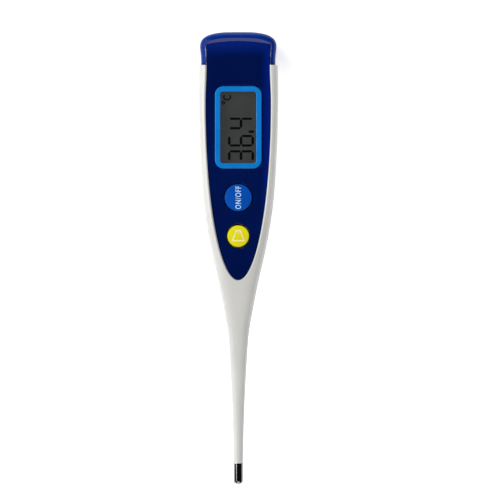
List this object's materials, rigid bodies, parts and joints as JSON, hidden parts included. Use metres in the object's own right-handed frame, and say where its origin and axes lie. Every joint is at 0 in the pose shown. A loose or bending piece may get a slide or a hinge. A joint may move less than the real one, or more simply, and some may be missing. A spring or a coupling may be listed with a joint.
{
  "type": "digital clinical thermometer",
  "caption": "Pen-type digital clinical thermometer: slim stem with a metal probe tip, wide head with an oblong display, round push buttons and a pull-off battery cover.",
  "frame": {"origin": "middle of the thermometer's box, on the surface that its flat back rests on", "axes": "+Y along the thermometer from the probe tip towards the battery cover, +Z out of the display side, +X across it"},
  "size_m": [0.0246, 0.139, 0.0121],
  "materials": {
    "white_shell": "satin, slightly glossy ABS",
    "navy_panel": "gloss, printed behind a clear film",
    "adhesive_film": "matte tape",
    "blue_bezel": "gloss",
    "clear_window": "clear, polished",
    "dark_foam": "matte foam",
    "polariser_film": "semi-matte film",
    "display_glass": "clear, polished",
    "reflector_film": "satin",
    "frame_plastic": "moulded, matte",
    "striped_rubber": "matte",
    "green_board": "solder mask, satin",
    "black_resin": "gloss resin",
    "chip_ceramic": "matte",
    "tan_ceramic": "matte",
    "tray_plastic": "moulded, matte",
    "brass_sheet": "satin",
    "piezo_ceramic": "silvered ceramic, matte",
    "tinned_wire": "bright",
    "silicone": "matte silicone",
    "gold_plate": "gold-plated",
    "spring_metal": "nickel-plated spring bronze",
    "probe_steel": "polished stainless steel",
    "amber_epoxy": "gloss resin",
    "sensor_glass": "glass bead",
    "red_insulation": "enamel insulation",
    "blue_button": "satin",
    "carbon_rubber": "matte",
    "yellow_button": "satin",
    "cell_steel": "nickel-plated, bright",
    "cell_nylon": "matte",
    "blue_cover": "gloss",
    "seal_rubber": "matte"
  },
  "bodies": {
    "thermometer": {"housing": "white_shell", "face_panel": "navy_panel", "panel_adhesive": "adhesive_film", "display_bezel": "blue_bezel", "display_window": "clear_window", "lcd_gasket": "dark_foam", "lcd_polariser": "polariser_film", "lcd_front_glass": "display_glass", "lcd_rear_glass": "display_glass", "lcd_reflector": "reflector_film", "lcd_frame": "frame_plastic", "zebra_strip": "striped_rubber", "circuit_board": "green_board", "chip_cover": "black_resin", "chip_resistors": "chip_ceramic", "chip_capacitors": "tan_ceramic", "tray": "tray_plastic", "buzzer_plate": "brass_sheet", "buzzer_ceramic": "piezo_ceramic", "buzzer_leads": "tinned_wire", "keypad": "silicone", "switch_contacts": "gold_plate", "positive_contact": "spring_metal", "negative_contact": "spring_metal", "probe_tip": "probe_steel", "tip_epoxy": "amber_epoxy", "sensor_bead": "sensor_glass", "sensor_leads": "red_insulation"},
    "power_button": {"power_button": "blue_button", "power_plunger": "silicone", "power_pill": "carbon_rubber"},
    "sound_button": {"sound_button": "yellow_button", "sound_plunger": "silicone", "sound_pill": "carbon_rubber"},
    "battery": {"battery_can": "cell_steel", "battery_grommet": "cell_nylon", "battery_cap": "cell_steel"},
    "battery_cover": {"battery_cover": "blue_cover", "cover_seal": "seal_rubber"}
  },
  "joints": [
    {"name": "power_button_press", "type": "slide", "parent": "thermometer", "child": "power_button", "axis": [0, 0, -1], "range_m": [0, 0.0007], "stiffness_N_per_m": 1500},
    {"name": "sound_button_press", "type": "slide", "parent": "thermometer", "child": "sound_button", "axis": [0, 0, -1], "range_m": [0, 0.0007], "stiffness_N_per_m": 1500},
    {"name": "battery_slide", "type": "slide", "parent": "thermometer", "child": "battery", "axis": [0, 1, 0], "range_m": [0, 0.0125]},
    {"name": "cover_slide", "type": "slide", "parent": "battery", "child": "battery_cover", "axis": [0, 1, 0], "range_m": [0, 0.03]}
  ]
}
